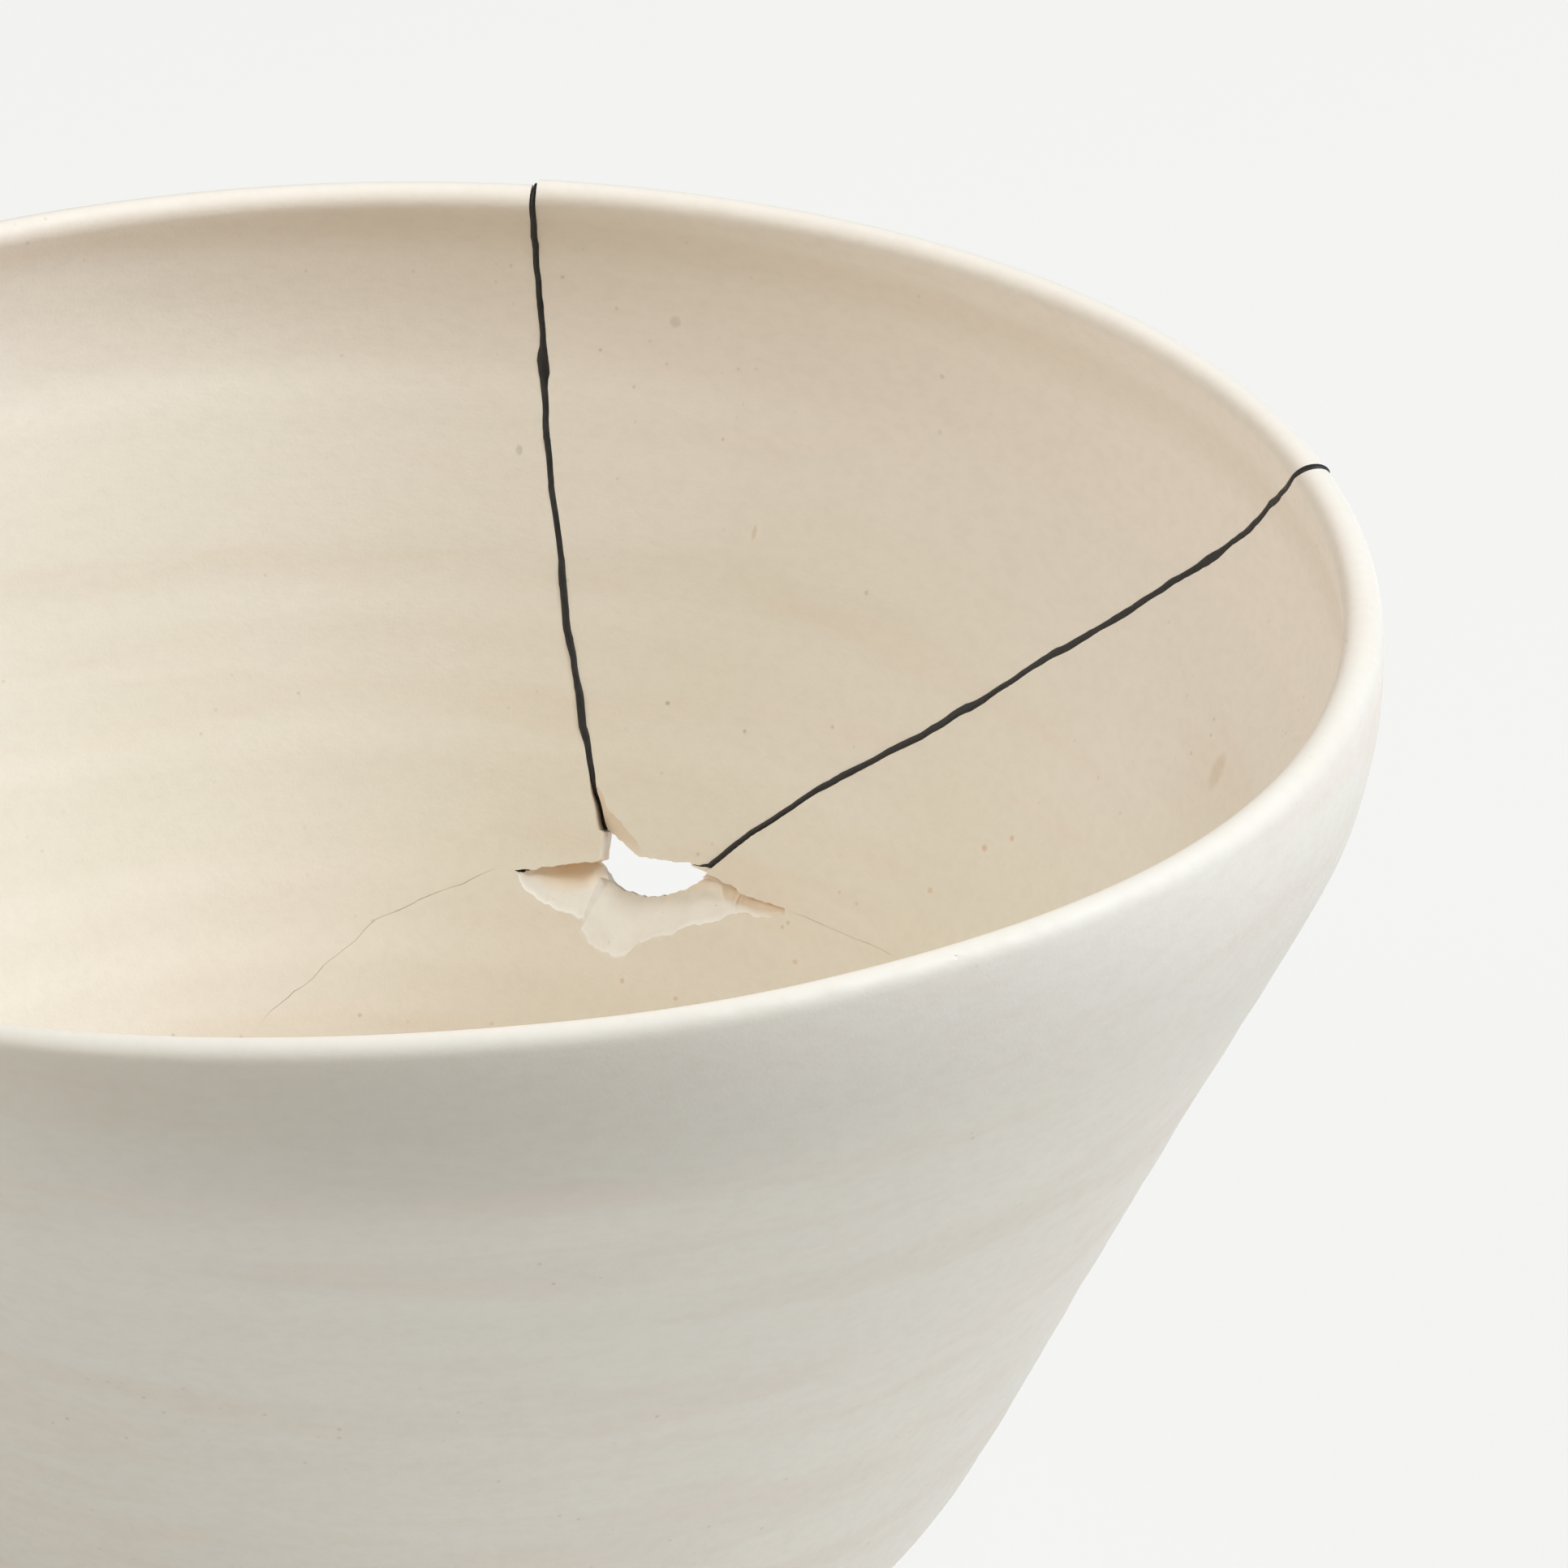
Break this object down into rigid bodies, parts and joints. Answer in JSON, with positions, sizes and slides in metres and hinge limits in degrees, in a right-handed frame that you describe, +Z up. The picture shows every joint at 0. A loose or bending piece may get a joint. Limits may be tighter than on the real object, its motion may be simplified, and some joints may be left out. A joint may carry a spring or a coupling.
{
  "type": "cracked bowl",
  "caption": "Deep thrown porcelain bowl, broken and mended: a wedge of the rim set back with dark filler, a jagged hole and flake scars where the cracks meet, turned foot ring.",
  "frame": {"origin": "centre of the foot ring's underside, on the surface the bowl stands on", "axes": "+Z up along the bowl's axis, +Y towards the mended break, +X towards the right seam"},
  "size_m": [0.2046, 0.2046, 0.1287],
  "materials": {
    "porcelain": "unglazed, matt to satin, fine throwing lines",
    "seam_filler": "matt charcoal filler with a slightly raised, uneven bead"
  },
  "bodies": {
    "root": {"bowl_body": "porcelain", "rim_shard": "porcelain", "left_seam_filler": "seam_filler", "right_seam_filler": "seam_filler"}
  },
  "joints": []
}
